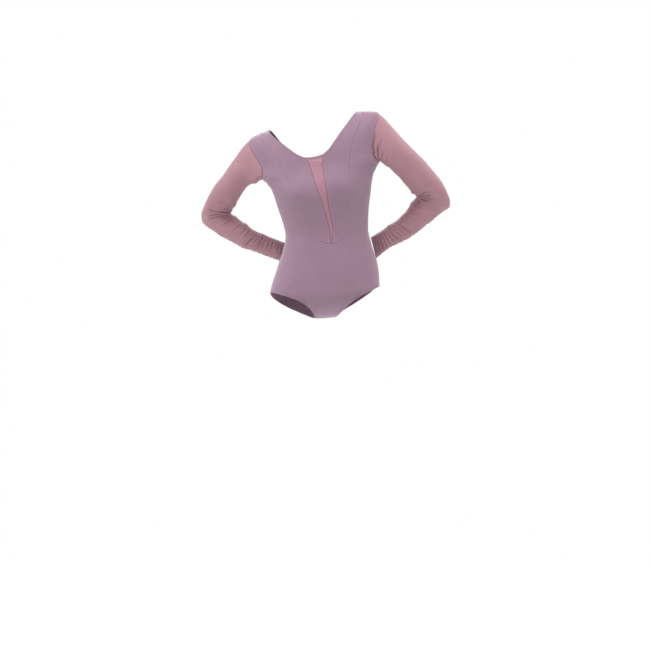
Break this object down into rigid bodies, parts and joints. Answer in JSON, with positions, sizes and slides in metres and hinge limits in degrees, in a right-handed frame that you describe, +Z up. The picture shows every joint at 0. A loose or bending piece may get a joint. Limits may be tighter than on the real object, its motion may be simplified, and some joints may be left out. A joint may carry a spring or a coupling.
{
  "type": "long-sleeve leotard",
  "caption": "Long-sleeve dance leotard with princess seams, a pointed waist seam, a narrow sheer centre wedge and sheer sleeves, hollow and posed hands on hips.",
  "frame": {"origin": "between the two shoulder seams, where the shoulders carry the garment", "axes": "+X to the wearer's left, -Y to the wearer's front, +Z up"},
  "size_m": [0.7389, 0.3473, 0.6105],
  "materials": {
    "knit": "matte mauve stretch knit",
    "mesh": "sheer rose-mauve stretch mesh"
  },
  "bodies": {
    "root": {"front_body": "knit", "centre_front_left": "knit", "centre_front_right": "knit", "v_insert": "mesh", "back": "knit", "sleeve_left": "mesh", "sleeve_right": "mesh"}
  },
  "joints": []
}
